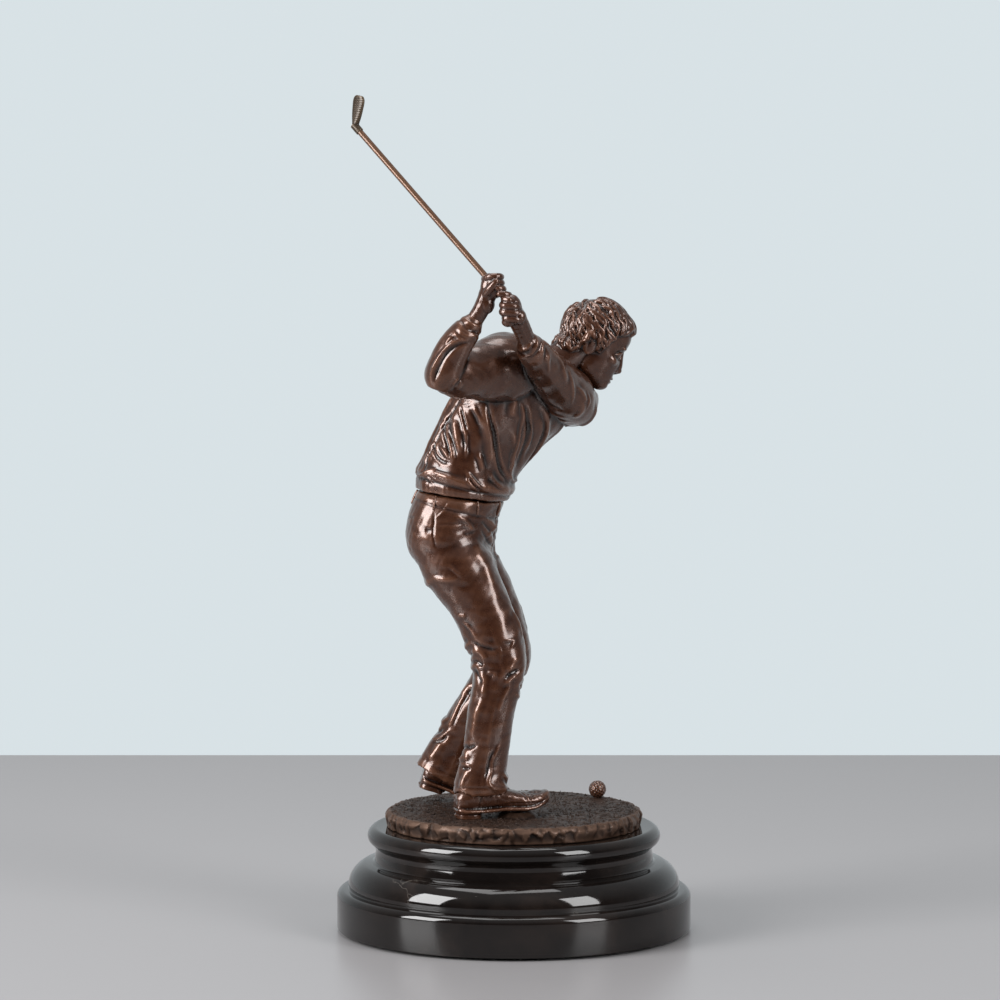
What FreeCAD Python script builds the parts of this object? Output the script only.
"""Figure trophy: a cast bronze golfer on a cast turf plate, bolted through a turned marble base.

The golfer is cast in sections (shoes, trousers, shirt, sleeves, hands, head) that register in one
another with tenons and are held by cross pins. The club is a brass rod with a brazed head, and it
slides out of the fists. Millimetres. Origin at the centre of the underside, +Z up, the golfer
faces +X with the right side towards -Y.
"""
import FreeCAD, Part

import math
import os
from functools import lru_cache

Vec = FreeCAD.Vector

# ---- driving dimensions -------------------------------------------------------------------------
FELT_THICK = 1.2
FELT_RADIUS = 74.0

MARBLE_TOP = 48.0
MARBLE_RADIUS = 81.0
STUD_RADIUS = 3.0            # M6 stud through the marble
STUD_GRIP = 5.2              # thread in the turf plate
STUD_HOLE_RADIUS = 3.5
RECESS_RADIUS = 13.0         # nut recess in the underside of the marble
RECESS_DEPTH = 10.0
WASHER_THICK = 1.6
NUT_FLATS = 10.0
NUT_THICK = 5.0

TURF_THICK = 7.5
TURF_RADIUS = 58.6
TURF_FOOT_RADIUS = 56.4      # the turf plate is undercut towards the marble
TURF_WALL = 3.6
TURF_TOP = MARBLE_TOP + TURF_THICK
BOSS_RADIUS = 7.0

SCREW_RADIUS = 1.5           # M3 screws up into the shoes
SCREW_HEAD_RADIUS = 2.75
SCREW_HEAD_THICK = 2.0
SCREW_WASHER_THICK = 0.5
SCREW_REACH = 4.5            # how far a screw runs into a shoe

BALL_RADIUS = 4.05
BALL_CENTRE = Vec(39.0, 35.0, TURF_TOP + 3.8)
BALL_PIN_RADIUS = 0.8

CASTING_WALL = 3.4
PIN_RADIUS = 0.9             # cross pins that hold the sections of the golfer together
TENON_RADIUS = 5.5           # round tenons of the sleeves
SHAFT_RADIUS = 1.4
SHAFT_CLEARANCE = 0.05

CLUB_ENTRY = Vec(-13.5, -50.0, 301.6)      # where the shaft comes out of the right fist
CLUB_AIM = Vec(-57.6, 32.0, 65.0).normalize()
CLUB_OUT = 92.6                            # shaft showing between the fist and the hosel
GRIP_LENGTH = 27.0                         # shaft inside the two fists
HOSEL_GRIP = 3.6                           # how far the head's hosel reaches down the shaft
BLADE_LENGTH = 13.4                        # heel to toe
BLADE_HEIGHT = 6.8                         # sole to top edge, at the toe
BLADE_THICK = 1.7
FIST_DEEP = 5.8                            # half sizes of a fist round the grip
FIST_WIDE = 4.9
FIST_SPLIT = 12.6                          # back from the entry, where one fist meets the other
FIST_END = 28.5

RING_POINTS = 16


# ---- rings and limbs ----------------------------------------------------------------------------
def ring_wire(centre, along, ahead, sizes, squareness=2.2):
    """Closed smooth outline across a limb. sizes are the reaches (ahead, behind, left, right)."""
    along = Vec(along).normalize()
    ahead = Vec(ahead) - along * Vec(ahead).dot(along)
    ahead.normalize()
    left = along.cross(ahead)
    front, back, port, starboard = sizes
    points = []
    for i in range(RING_POINTS):
        turn = 2 * math.pi * i / RING_POINTS
        c, s = math.cos(turn), math.sin(turn)
        u = math.copysign(abs(c) ** (2 / squareness), c) * (front if c > 0 else back)
        v = math.copysign(abs(s) ** (2 / squareness), s) * (port if s > 0 else starboard)
        points.append(Vec(centre) + ahead * u + left * v)
    curve = Part.BSplineCurve()
    curve.interpolate(Points=points, PeriodicFlag=True)
    return Part.Wire([curve.toShape()])


def facing(turn_deg):
    """Level direction turned clockwise, as seen from above, from +X."""
    a = math.radians(turn_deg)
    return Vec(math.cos(a), -math.sin(a), 0)


def limb_directions(rings):
    """Each ring stands square to the line through its neighbours, unless it states its own."""
    found = []
    for i, ring in enumerate(rings):
        below = rings[max(i - 1, 0)]["at"]
        above = rings[min(i + 1, len(rings) - 1)]["at"]
        along = ring.get("along", Vec(above) - Vec(below))
        found.append(Vec(along).normalize())
    return found


def reach(sizes, less=0.0):
    """Two sizes mean (ahead and behind, each side); four are given one by one."""
    four = (sizes[0], sizes[0], sizes[1], sizes[1]) if len(sizes) == 2 else sizes
    return tuple(s - less for s in four)


def limb(rings, less=0.0):
    wires = [
        ring_wire(r["at"], along, r.get("ahead", Vec(1, 0, 0)), reach(r["size"], less),
                  r.get("square", 2.2))
        for r, along in zip(rings, limb_directions(rings))
    ]
    return Part.makeLoft(wires, True, False)


def plug(ring, along, less, depth):
    """Straight tenon of a ring's outline, running from the ring backwards along its limb."""
    wire = ring_wire(ring["at"], along, ring["ahead"], reach(ring["size"], less))
    return Part.Face(wire).extrude(Vec(along).normalize() * -depth)


def rod(start, end, radius):
    start, end = Vec(start), Vec(end)
    return Part.makeCylinder(radius, (end - start).Length, start, end - start)


def revolved(edges):
    """Solid of revolution about Z from the closed run of edges in the XZ plane."""
    return Part.Face(Part.Wire(edges)).revolve(Vec(0, 0, 0), Vec(0, 0, 1), 360)


def line(a, b):
    return Part.LineSegment(Vec(a[0], 0, a[1]), Vec(b[0], 0, b[1])).toShape()


def arc(a, mid, b):
    return Part.Arc(Vec(a[0], 0, a[1]), Vec(mid[0], 0, mid[1]), Vec(b[0], 0, b[1])).toShape()


# ---- marble base --------------------------------------------------------------------------------
def marble_base():
    bottom = FELT_THICK
    chamfer = 0.8
    edge_top = 16.5           # top of the straight side of the plinth
    plinth_round = 3.0
    quirk = (75.2, edge_top + plinth_round)
    ovolo_top = (64.8, 31.5)
    neck_low = (63.2, 33.0)
    neck_high = (63.6, 37.5)
    lip_low = (65.4, 39.8)
    lip_out = (67.0, 44.2)
    lip_high = (65.2, MARBLE_TOP)
    edges = [
        line((0, bottom), (MARBLE_RADIUS - chamfer, bottom)),
        line((MARBLE_RADIUS - chamfer, bottom), (MARBLE_RADIUS, bottom + chamfer)),
        line((MARBLE_RADIUS, bottom + chamfer), (MARBLE_RADIUS, edge_top)),
        arc((MARBLE_RADIUS, edge_top),
            (MARBLE_RADIUS - plinth_round * 0.29, edge_top + plinth_round * 0.71),
            (MARBLE_RADIUS - plinth_round, edge_top + plinth_round)),
        line((MARBLE_RADIUS - plinth_round, edge_top + plinth_round), quirk),
        arc(quirk, (73.5, 27.2), ovolo_top),
        arc(ovolo_top, (63.7, 31.9), neck_low),
        arc(neck_low, (63.0, 35.3), neck_high),
        arc(neck_high, (64.1, 39.0), lip_low),
        arc(lip_low, lip_out, lip_high),
        line(lip_high, (0, MARBLE_TOP)),
        line((0, MARBLE_TOP), (0, bottom)),
    ]
    body = revolved(edges)
    recess = Part.makeCylinder(RECESS_RADIUS, RECESS_DEPTH, Vec(0, 0, bottom))
    hole = Part.makeCylinder(STUD_HOLE_RADIUS, MARBLE_TOP, Vec(0, 0, 0))
    return body.cut(recess.fuse(hole))


def hexagon(flats, thick, z, hole):
    corner = flats / math.sqrt(3)
    points = [Vec(corner * math.cos(math.radians(60 * i)), corner * math.sin(math.radians(60 * i)), z)
              for i in range(7)]
    nut = Part.Face(Part.makePolygon(points)).extrude(Vec(0, 0, thick))
    return nut.cut(Part.makeCylinder(hole, thick, Vec(0, 0, z)))


def tube(outer, inner, thick, centre):
    return Part.makeCylinder(outer, thick, centre).cut(Part.makeCylinder(inner, thick, centre))


def base_fixings():
    ceiling = FELT_THICK + RECESS_DEPTH
    washer = tube(10.0, STUD_RADIUS + 0.2, WASHER_THICK, Vec(0, 0, ceiling - WASHER_THICK))
    nut = hexagon(NUT_FLATS, NUT_THICK, ceiling - WASHER_THICK - NUT_THICK, STUD_RADIUS)
    stud_foot = ceiling - WASHER_THICK - NUT_THICK - 1.0
    stud = Part.makeCylinder(STUD_RADIUS, MARBLE_TOP + STUD_GRIP - stud_foot, Vec(0, 0, stud_foot))
    return washer, nut, stud


# ---- turf plate and ball ------------------------------------------------------------------------
def foot_screw_places():
    """Where the screws come up through the turf plate: two under the right shoe, one under the left."""
    return [right_foot(6.0, 0), right_foot(28.0, 0), left_foot(31.0, 0)]


@lru_cache
def turf_plate():
    disc = Part.makeCone(TURF_FOOT_RADIUS, TURF_RADIUS, TURF_THICK - 2.2, Vec(0, 0, MARBLE_TOP))
    rim = Part.makeCone(TURF_RADIUS, TURF_RADIUS - 0.8, 2.2, Vec(0, 0, TURF_TOP - 2.2))
    hollow = Part.makeCylinder(TURF_FOOT_RADIUS - TURF_WALL, TURF_THICK - TURF_WALL,
                               Vec(0, 0, MARBLE_TOP))
    plate = disc.fuse(rim).cut(hollow)
    plate = plate.fuse(Part.makeCylinder(BOSS_RADIUS, TURF_THICK - 1, Vec(0, 0, MARBLE_TOP)))
    mound = right_foot(29.0, 0)
    plate = plate.fuse(Part.makeCone(11.0, 6.5, RIGHT_FORE_LIFT + 0.4,
                                     Vec(mound.x, mound.y, TURF_TOP - 0.4)))
    plate = plate.cut(Part.makeCylinder(STUD_RADIUS, STUD_GRIP, Vec(0, 0, MARBLE_TOP)))
    for place in foot_screw_places():
        plate = plate.cut(Part.makeCylinder(SCREW_RADIUS + 0.2, TURF_THICK + 8,
                                            Vec(place.x, place.y, MARBLE_TOP)))
    ball = Part.makeSphere(BALL_RADIUS, BALL_CENTRE)
    return plate.cut([ball_pin(), ball]).removeSplitter()


def golf_ball():
    return Part.makeSphere(BALL_RADIUS, BALL_CENTRE).cut(ball_pin())


def ball_pin():
    foot = MARBLE_TOP + 4.0
    return Part.makeCylinder(BALL_PIN_RADIUS, BALL_CENTRE.z - foot,
                             Vec(BALL_CENTRE.x, BALL_CENTRE.y, foot))


# ---- shoes --------------------------------------------------------------------------------------
RIGHT_HEEL = Vec(-26.8, -28.5, TURF_TOP)    # back of the heel, on the turf
RIGHT_FOOT_TURN = -17.0                     # the toe points a little away from the right side
RIGHT_FORE_LIFT = 2.2                       # the ball of the right foot stands on a mound
LEFT_HEEL = Vec(-44.6, 22.0, TURF_TOP + 7.4)
LEFT_FOOT_TURN = -4.0
LEFT_PITCH = 19.0                           # the left heel is lifted
LEFT_BEND = 23.0                            # along the sole, where the lifted foot meets the turf
HEEL_BLOCK = 4.4
WELT_PROUD = 0.5
WELT_THICK = 2.2
HEM_CLEARANCE = 0.15


def right_foot(ahead, up):
    """Point on the right sole's centre line, ahead of the back of the heel."""
    return RIGHT_HEEL + facing(RIGHT_FOOT_TURN) * ahead + Vec(0, 0, up)


def left_foot(ahead, up):
    """The same for the left foot: pitched down to its bend, then level to the toe."""
    pitch = math.radians(LEFT_PITCH)
    slope = min(ahead, LEFT_BEND)
    level = max(ahead - LEFT_BEND, 0.0)
    out = slope * math.cos(pitch) + level
    drop = slope * math.sin(pitch)
    return LEFT_HEEL + facing(LEFT_FOOT_TURN) * out + Vec(0, 0, up - drop)


# stations of a shoe upper: ahead of the heel, half width, underside, top
SHOE_UPPER = [
    (0.4, 3.4, 4.6, 11.0),
    (2.6, 5.4, 3.6, 13.0),
    (8.0, 6.3, 3.2, 14.6),
    (15.0, 6.3, 2.8, 14.0),
    (21.0, 6.9, 2.2, 11.6),
    (28.0, 7.7, 1.6, 9.6),
    (35.0, 7.6, 1.8, 8.3),
    (40.5, 6.0, 2.6, 7.4),
    (44.0, 2.6, 3.8, 6.2),
]


def right_rise(ahead):
    """Height of the right sole over the turf: it lifts at the ball and springs at the toe."""
    lift = RIGHT_FORE_LIFT * min(max((ahead - 12.0) / 12.0, 0.0), 1.0)
    spring = 0.045 * max(ahead - 34.0, 0.0) ** 1.8
    return lift + spring


def sole_axes(turn, pitch_deg):
    """Directions along the sole, which is pitched down towards the toe, and square to it."""
    pitch = math.radians(pitch_deg)
    forward = facing(turn) * math.cos(pitch) + Vec(0, 0, -math.sin(pitch))
    upward = facing(turn) * math.sin(pitch) + Vec(0, 0, math.cos(pitch))
    return forward, upward


def shoe_upper(foot, turn, pitch_at, rise, more=0.0):
    wires = []
    for ahead, half, low, high in SHOE_UPPER:
        forward, upward = sole_axes(turn, pitch_at(ahead))
        tall = (high - low) / 2
        middle = foot(ahead, rise(ahead)) + upward * (low + tall)
        sizes = (tall + more, tall + more, half + more, half + more)
        wires.append(ring_wire(middle, forward, upward, sizes, 2.6))
    return Part.makeLoft(wires, True, False)


def shoe_welt(foot, turn, pitch_at, rise):
    """The edge of the sole, which stands proud round the foot of the upper."""
    wires = []
    for ahead, half, low, _ in SHOE_UPPER:
        forward, upward = sole_axes(turn, pitch_at(ahead))
        middle = foot(ahead, rise(ahead)) + upward * (low + 0.3)
        wide = half + WELT_PROUD
        wires.append(ring_wire(middle, forward, upward, (WELT_THICK / 2, WELT_THICK / 2, wide, wide), 3.5))
    return Part.makeLoft(wires, True, False)


def heel_block(foot, turn, pitch_deg):
    """The stacked heel under the back of the shoe: a half round slab, square to the sole."""
    forward, upward = sole_axes(turn, pitch_deg)
    low = ring_wire(foot(6.6, 0), upward, forward, (5.4, 6.0, 5.9, 5.9), 2.8)
    high = ring_wire(foot(6.6, 0) + upward * HEEL_BLOCK, upward, forward, (5.4, 6.3, 6.2, 6.2), 2.8)
    return Part.makeLoft([low, high], True, False)


def left_pitch(ahead):
    return LEFT_PITCH if ahead < LEFT_BEND else 0.0


def level(ahead):
    return 0.0


RIGHT_SHAPE = (right_foot, RIGHT_FOOT_TURN, level, right_rise)
LEFT_SHAPE = (left_foot, LEFT_FOOT_TURN, left_pitch, level)


def right_shoe():
    body = shoe_upper(*RIGHT_SHAPE).fuse(shoe_welt(*RIGHT_SHAPE))
    body = body.fuse(heel_block(right_foot, RIGHT_FOOT_TURN, 0.0))
    body = body.fuse(limb(ANKLE_RIGHT))
    for place in foot_screw_places()[:2]:
        body = body.cut(Part.makeCylinder(SCREW_RADIUS, SCREW_REACH + RIGHT_FORE_LIFT,
                                          Vec(place.x, place.y, TURF_TOP)))
    return body.cut([turf_plate()] + cross_pins())


def left_shoe():
    body = shoe_upper(*LEFT_SHAPE).fuse(shoe_welt(*LEFT_SHAPE))
    body = body.fuse(heel_block(left_foot, LEFT_FOOT_TURN, LEFT_PITCH))
    body = body.fuse(limb(ANKLE_LEFT))
    place = foot_screw_places()[2]
    body = body.cut(Part.makeCylinder(SCREW_RADIUS, SCREW_REACH, Vec(place.x, place.y, TURF_TOP)))
    return body.cut([turf_plate()] + cross_pins())


# ---- trousers -----------------------------------------------------------------------------------
WAIST_AT = Vec(-23.6, 0, 200.0)
WAIST_UP = Vec(0.15, 0, 1.0)
WAIST = {"at": WAIST_AT, "along": WAIST_UP, "ahead": facing(24), "size": (19.0, 23.0)}
WAIST_TENON_LESS = 2.4
WAIST_TENON_DEEP = 5.0
HIP_WALL = 6.0

PELVIS = [
    {"at": Vec(-26.5, 0.5, 164.0), "along": Vec(0, 0, 1), "ahead": facing(16), "size": (12.0, 21.0)},
    {"at": Vec(-28.2, 0, 173.0), "along": Vec(0, 0, 1), "ahead": facing(18), "size": (17.6, 25.0)},
    {"at": Vec(-28.8, 0, 182.5), "along": Vec(0, 0, 1), "ahead": facing(20), "size": (19.2, 26.0)},
    {"at": Vec(-27.2, 0, 191.5), "along": Vec(0.08, 0, 1), "ahead": facing(22), "size": (18.9, 24.8)},
    WAIST,
]

RIGHT_LEG = [
    {"at": Vec(-15.4, -24.0, 66.0), "along": Vec(-0.05, 0, 1), "size": (12.0, 9.6)},
    {"at": Vec(-14.4, -24.0, 75.0), "size": (11.2, 9.2)},
    {"at": Vec(-12.5, -23.0, 88.0), "size": (10.4, 9.3)},
    {"at": Vec(-10.5, -22.0, 102.0), "size": (10.6, 9.9)},
    {"at": Vec(-8.2, -21.0, 113.5), "size": (10.9, 10.2)},
    {"at": Vec(-6.7, -20.0, 123.0), "size": (12.0, 10.8)},
    {"at": Vec(-8.0, -18.6, 132.5), "size": (13.1, 11.6)},
    {"at": Vec(-13.0, -16.4, 146.0), "size": (13.4, 12.8)},
    {"at": Vec(-20.4, -14.2, 160.0), "size": (15.0, 14.0)},
    {"at": Vec(-27.0, -12.7, 172.0), "along": Vec(-0.25, 0, 1), "size": (16.4, 14.4)},
    {"at": Vec(-30.0, -11.5, 180.0), "along": Vec(-0.25, 0, 1), "size": (14.0, 12.0)},
]

LEFT_LEG = [
    {"at": Vec(-34.6, 22.0, 67.4), "along": Vec(0.50, 0, 0.86), "size": (12.0, 9.6)},
    {"at": Vec(-30.4, 22.0, 75.2), "size": (11.4, 9.2)},
    {"at": Vec(-23.2, 21.4, 88.0), "size": (10.8, 9.2)},
    {"at": Vec(-15.4, 20.6, 101.0), "size": (10.7, 9.8)},
    {"at": Vec(-8.4, 20.0, 112.0), "size": (11.1, 10.2)},
    {"at": Vec(-4.4, 19.0, 122.0), "size": (12.2, 10.8)},
    {"at": Vec(-6.2, 17.6, 133.0), "size": (12.8, 11.8)},
    {"at": Vec(-10.0, 16.0, 145.0), "size": (13.2, 13.0)},
    {"at": Vec(-16.6, 14.6, 158.0), "size": (14.4, 14.2)},
    {"at": Vec(-23.6, 13.2, 170.0), "along": Vec(-0.3, 0, 1), "size": (15.0, 14.2)},
    {"at": Vec(-27.4, 12.0, 178.0), "along": Vec(-0.3, 0, 1), "size": (13.0, 12.0)},
]

ANKLE_RIGHT = [
    {"at": Vec(-17.6, -25.6, 64.0), "along": Vec(0, 0, 1), "size": (6.4, 5.2)},
    {"at": Vec(-16.6, -25.0, 70.0), "along": Vec(0, 0, 1), "size": (6.0, 5.0)},
    {"at": Vec(-15.6, -24.4, 78.0), "along": Vec(0, 0, 1), "size": (5.6, 4.8)},
]

ANKLE_LEFT = [
    {"at": Vec(-36.6, 22.0, 64.4), "along": Vec(0.5, 0, 0.86), "size": (6.4, 5.2)},
    {"at": Vec(-33.4, 22.0, 70.0), "along": Vec(0.5, 0, 0.86), "size": (6.0, 5.0)},
    {"at": Vec(-29.6, 22.0, 76.6), "along": Vec(0.5, 0, 0.86), "size": (5.6, 4.8)},
]


@lru_cache
def trousers_outline():
    return limb(PELVIS).fuse([limb(RIGHT_LEG), limb(LEFT_LEG)])


def trousers():
    """Hips and legs in one casting: hollow hips, open at the waist, and hems that fit over the shoes."""
    cavity = limb(PELVIS[1:4], HIP_WALL)
    pocket = plug(WAIST, WAIST_UP, WAIST_TENON_LESS, WAIST_TENON_DEEP + 6.0)
    body = trousers_outline().cut([cavity, pocket])
    shoes = [shoe_upper(*RIGHT_SHAPE, HEM_CLEARANCE), shoe_upper(*LEFT_SHAPE, HEM_CLEARANCE)]
    return body.cut(shoes + [limb(ANKLE_RIGHT), limb(ANKLE_LEFT)] + cross_pins())


# ---- shirt --------------------------------------------------------------------------------------
SHIRT = [
    {"at": WAIST_AT, "along": WAIST_UP, "ahead": facing(24), "size": (20.0, 24.0)},
    {"at": Vec(-22.0, 0, 206.0), "along": Vec(0.22, 0, 1), "ahead": facing(27), "size": (20.9, 24.6)},
    {"at": Vec(-19.0, 0, 214.0), "along": Vec(0.36, 0, 1), "ahead": facing(31), "size": (19.6, 24.0)},
    {"at": Vec(-14.4, 0, 223.0), "along": Vec(0.50, 0, 1), "ahead": facing(36), "size": (19.0, 24.4)},
    {"at": Vec(-8.0, -0.5, 233.0), "along": Vec(0.66, 0, 1), "ahead": facing(41), "size": (19.0, 25.6)},
    {"at": Vec(-0.5, -1, 242.5), "along": Vec(0.82, 0, 1), "ahead": facing(45), "size": (17.8, 27.0)},
    {"at": Vec(6.7, -1, 250.0), "along": Vec(0.95, 0, 1), "ahead": facing(47), "size": (14.8, 26.0)},
    {"at": Vec(12.6, 0, 255.6), "along": Vec(1.0, 0, 1), "ahead": facing(45), "size": (11.0, 18.0)},
    {"at": Vec(17.0, 1, 259.8), "along": Vec(1.0, 0.1, 1), "ahead": facing(35), "size": (9.2, 10.4)},
]


@lru_cache
def shirt_outline():
    return limb(SHIRT)


def shirt():
    """Hollow, open at the hem, with a tenon ring that drops into the waist of the trousers."""
    cavity = limb(SHIRT[0:5], CASTING_WALL + 1.8)
    outer = plug(WAIST, WAIST_UP, WAIST_TENON_LESS, WAIST_TENON_DEEP)
    inner = plug(WAIST, WAIST_UP, WAIST_TENON_LESS + 3.0, WAIST_TENON_DEEP)
    body = shirt_outline().cut(cavity).fuse(outer.cut(inner))
    return body.cut([limb(NECK), right_tenon(), left_tenon()] + cross_pins())


# ---- sleeves ------------------------------------------------------------------------------------
RIGHT_SHOULDER = Vec(-5.0, -18.0, 259.0)
RIGHT_ELBOW = Vec(-31.0, -48.0, 256.6)
RIGHT_CUFF = Vec(-20.2, -50.0, 277.6)
RIGHT_UPPER_ARM = [
    {"at": Vec(4.5, -9.0, 258.0), "ahead": Vec(0, 0, 1), "size": (11.0, 12.0)},
    {"at": Vec(-3.5, -17.0, 259.0), "ahead": Vec(0, 0, 1), "size": (15.4, 14.6)},
    {"at": Vec(-13.5, -28.0, 257.6), "ahead": Vec(0, 0, 1), "size": (13.6, 11.8)},
    {"at": Vec(-23.5, -39.5, 256.4), "ahead": Vec(0, 0, 1), "size": (10.6, 9.8)},
    {"at": RIGHT_ELBOW, "ahead": Vec(0, 0, 1), "size": (8.0, 7.6)},
]
RIGHT_FOREARM = [
    {"at": Vec(-34.0, -48.0, 250.4), "ahead": Vec(-1, 0, 0), "size": (4.6, 6.0)},
    {"at": Vec(-31.8, -48.0, 256.6), "ahead": Vec(-1, 0, 0), "size": (8.4, 8.4)},
    {"at": Vec(-28.8, -48.8, 264.4), "ahead": Vec(-1, 0, 0), "size": (7.9, 8.0)},
    {"at": Vec(-25.0, -49.6, 271.2), "ahead": Vec(-1, 0, 0), "size": (7.1, 7.2)},
    {"at": RIGHT_CUFF, "along": Vec(0.62, 0, 0.78), "ahead": Vec(-1, 0, 0), "size": (6.2, 6.4)},
]

LEFT_SHOULDER = Vec(26.0, 9.0, 240.5)
LEFT_CUFF = Vec(6.8, -43.0, 269.4)
LEFT_ARM = [
    {"at": Vec(19.0, 19.0, 241.5), "along": Vec(1, -0.6, -0.1), "ahead": Vec(0, 0, 1), "size": (10.0, 9.4)},
    {"at": Vec(26.2, 11.0, 241.2), "along": Vec(0.4, -0.9, 0.15), "ahead": Vec(0, 0, 1), "size": (11.2, 11.6)},
    {"at": Vec(26.6, 1.0, 243.2), "ahead": Vec(0, 0, 1), "size": (11.2, 11.4)},
    {"at": Vec(22.2, -10.0, 248.8), "ahead": Vec(0, 0, 1), "size": (10.9, 10.6)},
    {"at": Vec(17.0, -20.5, 255.2), "ahead": Vec(0, 0, 1), "size": (9.5, 9.2)},
    {"at": Vec(12.2, -31.0, 261.6), "ahead": Vec(0, 0, 1), "size": (8.0, 7.8)},
    {"at": LEFT_CUFF, "ahead": Vec(0, 0, 1), "size": (6.3, 6.2)},
]


def right_tenon():
    """Round tenon of the right sleeve, in the side of the shirt."""
    return rod(Vec(0.0, -8.0, 246.0), RIGHT_SHOULDER, TENON_RADIUS)


def left_tenon():
    return rod(Vec(9.0, 4.0, 243.0), LEFT_SHOULDER, TENON_RADIUS)


@lru_cache
def right_arm_outline():
    return limb(RIGHT_UPPER_ARM).fuse(limb(RIGHT_FOREARM))


@lru_cache
def left_arm_outline():
    return limb(LEFT_ARM)


def right_sleeve():
    arm = right_arm_outline().cut([shirt_outline(), limb(NECK)]).fuse(right_tenon())
    return arm.cut([limb(RIGHT_WRIST)] + cross_pins())


def left_sleeve():
    """The head bears on the shoulder, so the sleeve is cut back to it."""
    arm = left_arm_outline().cut([shirt_outline(), head_outline(), right_arm_outline()]).fuse(left_tenon())
    return arm.cut([limb(LEFT_WRIST)] + cross_pins())


# ---- hands --------------------------------------------------------------------------------------
RIGHT_WRIST = [
    {"at": Vec(-22.6, -49.0, 273.8), "ahead": Vec(-1, 0, 0), "size": (3.7, 3.4)},
    {"at": Vec(-18.2, -50.0, 280.6), "ahead": Vec(-1, 0, 0), "size": (3.8, 3.5)},
    {"at": Vec(-12.8, -51.0, 287.4), "ahead": Vec(-1, 0, 0), "size": (4.1, 3.8)},
    {"at": Vec(-9.8, -52.0, 293.2), "ahead": Vec(-1, 0, 0), "size": (4.6, 4.6)},
]
LEFT_WRIST = [
    {"at": Vec(8.6, -39.6, 266.8), "ahead": Vec(0, 0, 1), "size": (3.8, 3.5)},
    {"at": Vec(5.4, -46.4, 273.6), "ahead": Vec(0, 0, 1), "size": (3.9, 3.6)},
    {"at": Vec(1.8, -52.2, 280.6), "ahead": Vec(0, 0, 1), "size": (4.2, 3.9)},
    {"at": Vec(-0.4, -55.4, 285.4), "ahead": Vec(0, 0, 1), "size": (4.6, 4.4)},
]


def along_shaft(back):
    """Point on the shaft, measured back from where it leaves the right fist."""
    return CLUB_ENTRY - CLUB_AIM * back


def fist(near, far):
    """A closed hand round the shaft, between two distances back from the entry."""
    rings = []
    for share, swell in ((0.0, 0.72), (0.14, 0.94), (0.45, 1.03), (0.85, 0.96), (1.0, 0.76)):
        rings.append({"at": along_shaft(near + (far - near) * share), "along": -CLUB_AIM,
                      "ahead": Vec(0, -1, 0), "size": (FIST_DEEP * swell, FIST_WIDE * swell)})
    return limb(rings)


def shaft_bore():
    return rod(along_shaft(-6), along_shaft(GRIP_LENGTH + 0.2), SHAFT_RADIUS + SHAFT_CLEARANCE)


def right_hand():
    hand = fist(0.0, FIST_SPLIT).fuse(limb(RIGHT_WRIST))
    return hand.cut([shaft_bore()] + cross_pins())


def left_hand():
    hand = fist(FIST_SPLIT, FIST_END).fuse(limb(LEFT_WRIST))
    return hand.cut([shaft_bore(), limb(RIGHT_WRIST)] + cross_pins())


# ---- head ---------------------------------------------------------------------------------------
HEAD_CENTRE = Vec(37.0, 5.0, 269.0)
HEAD_NOD = 27.0             # degrees the face looks down
HEAD_TURN = -8.0            # and a little away from the right side
NECK = [
    {"at": Vec(11.5, 0.0, 252.0), "along": Vec(1, 0.1, 1), "ahead": facing(20), "size": (7.0, 7.6)},
    {"at": Vec(17.5, 1.0, 258.4), "along": Vec(1, 0.1, 0.9), "ahead": facing(20), "size": (8.0, 8.4)},
    {"at": Vec(25.0, 2.6, 263.4), "along": Vec(1, 0.15, 0.7), "ahead": facing(10), "size": (8.6, 8.6)},
    {"at": Vec(33.0, 4.0, 267.6), "along": Vec(1, 0.1, 0.7), "ahead": facing(0), "size": (8.0, 8.0)},
]


def head_axes():
    nod, turn = math.radians(HEAD_NOD), HEAD_TURN
    out = facing(turn) * math.cos(nod) + Vec(0, 0, -math.sin(nod))
    crown = facing(turn) * math.sin(nod) + Vec(0, 0, math.cos(nod))
    return out, crown


@lru_cache
def head_outline():
    out, crown = head_axes()
    rings = []
    # height over the head's centre, then reach ahead, behind and to each side
    for up, front, back, side in (
        (-20.5, 11.5, 0.0, 5.0),
        (-18.0, 14.0, 3.0, 8.2),
        (-12.0, 15.0, 8.0, 11.4),
        (-4.0, 15.4, 15.0, 13.2),
        (4.0, 16.2, 17.6, 14.6),
        (11.0, 15.6, 17.0, 14.0),
        (17.0, 11.0, 12.4, 10.2),
        (20.0, 4.4, 5.4, 4.4),
    ):
        middle = HEAD_CENTRE + crown * up + out * ((front - back) / 2)
        half = (front + back) / 2
        rings.append({"at": middle, "along": crown, "ahead": out, "size": (half, side), "square": 2.15})
    return limb(rings).fuse(limb(NECK))


def head():
    return head_outline().cut(cross_pins())


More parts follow.
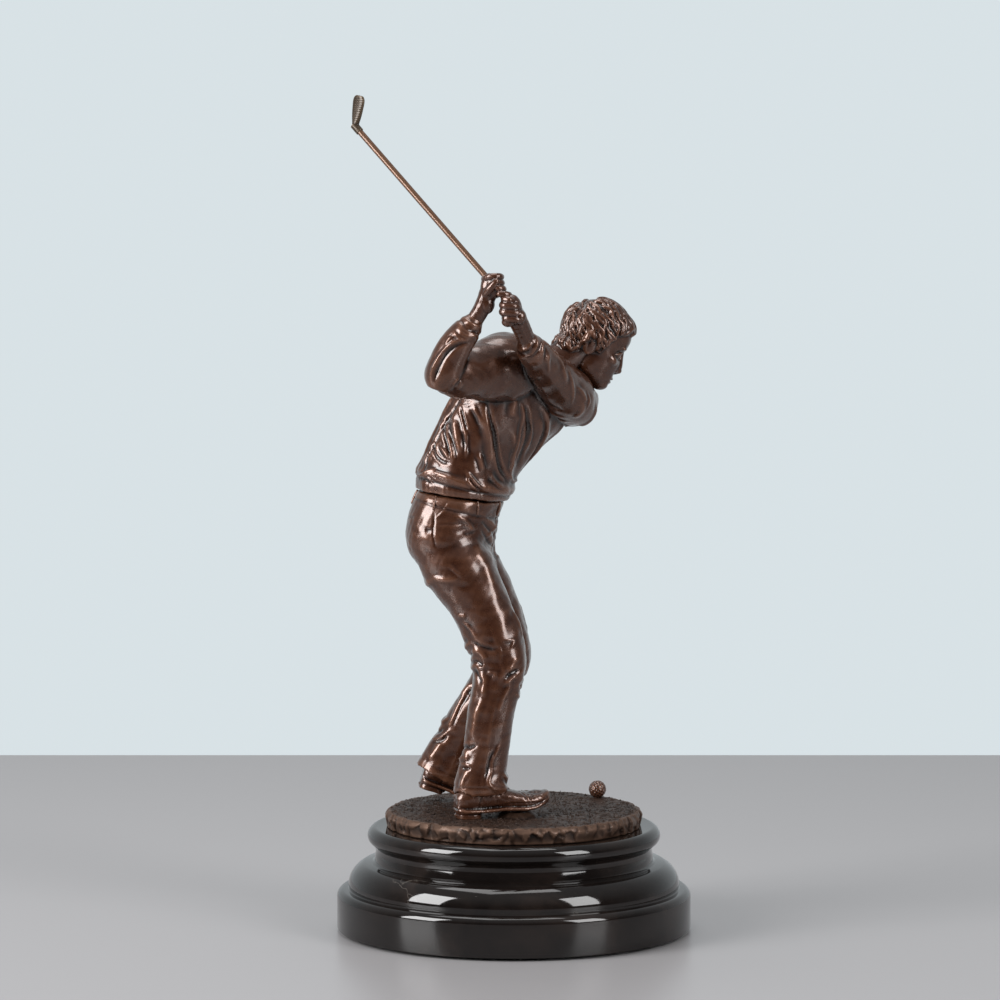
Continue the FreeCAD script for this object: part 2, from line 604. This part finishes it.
# ---- pins, screws -------------------------------------------------------------------------------
@lru_cache
def pin_rods():
    """Every cross pin, longer than the metal it goes through."""
    side = facing(24).cross(Vec(0, 0, -1))
    waist = WAIST_AT - Vec(0, 0, WAIST_TENON_DEEP / 2)
    wrist_right, wrist_left = RIGHT_WRIST[1]["at"], LEFT_WRIST[1]["at"]
    ankle_right, ankle_left = ANKLE_RIGHT[1]["at"], ANKLE_LEFT[1]["at"]
    across = Vec(0, 1, 0)
    return [
        rod(waist + side * 17.5, waist + side * 26, PIN_RADIUS),
        rod(waist - side * 17.5, waist - side * 26, PIN_RADIUS),
        rod(ankle_right + across * 4, ankle_right - across * 14, PIN_RADIUS),
        rod(ankle_left - across * 4, ankle_left + across * 14, PIN_RADIUS),
        rod(wrist_right - Vec(3, 0, 4), wrist_right + Vec(-12, 0, -4), PIN_RADIUS * 0.7),
        rod(wrist_left - Vec(0, 0, 2), wrist_left + Vec(0, 6, -12), PIN_RADIUS * 0.7),
        rod(Vec(12.5, 0, 258.0), Vec(4.5, 0, 266.0), PIN_RADIUS),
    ]


@lru_cache
def flush_pins():
    """The pins, filed flush with the surface of the bronze."""
    skin = trousers_outline().fuse([shirt_outline(), right_arm_outline(), left_arm_outline()])
    return [pin.common(skin) for pin in pin_rods()]


def cross_pins():
    return list(flush_pins())


def foot_screws():
    screws, washers = [], []
    for i, place in enumerate(foot_screw_places()):
        ceiling = TURF_TOP - TURF_WALL
        tip = TURF_TOP + SCREW_REACH
        shank = Part.makeCylinder(SCREW_RADIUS, tip - ceiling + SCREW_WASHER_THICK,
                                  Vec(place.x, place.y, ceiling - SCREW_WASHER_THICK))
        cap_z = ceiling - SCREW_WASHER_THICK - SCREW_HEAD_THICK
        cap = Part.makeCylinder(SCREW_HEAD_RADIUS, SCREW_HEAD_THICK, Vec(place.x, place.y, cap_z))
        slot = Part.makeBox(2 * SCREW_HEAD_RADIUS, 0.7, 0.9,
                            Vec(place.x - SCREW_HEAD_RADIUS, place.y - 0.35, cap_z))
        screws.append(shank.fuse(cap).cut(slot))
        washers.append(tube(3.4, SCREW_RADIUS, SCREW_WASHER_THICK,
                            Vec(place.x, place.y, ceiling - SCREW_WASHER_THICK)))
    return screws, washers


# ---- club ---------------------------------------------------------------------------------------
def club_shaft():
    return rod(along_shaft(GRIP_LENGTH), along_shaft(-CLUB_OUT), SHAFT_RADIUS)


def club_head():
    """Blade iron: a thin wedge that grows taller towards the toe, on a short hosel."""
    heel = along_shaft(-CLUB_OUT)
    toe_way = Vec(0.15, -0.10, 0.98).normalize()
    blade_up = Vec(0.72, -0.66, -0.16)
    rings = []
    for share, tall in ((0.0, 0.42), (0.12, 0.55), (0.45, 0.85), (0.8, 1.0), (0.95, 0.8), (1.0, 0.5)):
        thick = BLADE_THICK / 2 + 0.5 * (1 - share)
        rings.append({"at": heel + toe_way * (BLADE_LENGTH * share + 0.5), "along": toe_way,
                      "ahead": blade_up, "size": (BLADE_HEIGHT / 2 * tall, thick), "square": 2.6})
    hosel = rod(along_shaft(HOSEL_GRIP - CLUB_OUT), along_shaft(-CLUB_OUT - 1.0), SHAFT_RADIUS + 0.4)
    return limb(rings).fuse(hosel).cut(club_shaft())


# ---- write the nodes ----------------------------------------------------------------------------
def main():
    os.makedirs("parts", exist_ok=True)
    washer, nut, stud = base_fixings()
    screws, screw_washers = foot_screws()
    nodes = {
        "felt_pad": Part.makeCylinder(FELT_RADIUS, FELT_THICK),
        "marble_base": marble_base(),
        "base_washer": washer,
        "base_nut": nut,
        "centre_stud": stud,
        "turf_plate": turf_plate(),
        "golf_ball": golf_ball(),
        "ball_pin": ball_pin(),
        "right_shoe": right_shoe(),
        "left_shoe": left_shoe(),
        "foot_screws": Part.makeCompound(screws),
        "foot_washers": Part.makeCompound(screw_washers),
        "trousers": trousers(),
        "shirt": shirt(),
        "right_sleeve": right_sleeve(),
        "left_sleeve": left_sleeve(),
        "right_hand": right_hand(),
        "left_hand": left_hand(),
        "head": head(),
        "joint_pins": Part.makeCompound(cross_pins()),
        "club_shaft": club_shaft(),
        "club_head": club_head(),
    }
    for name, shape in nodes.items():
        print(f"{name:14s} solids {len(shape.Solids)} valid {shape.isValid()} volume {shape.Volume:.1f}")
        shape.exportStep(f"parts/{name}.step")


main()
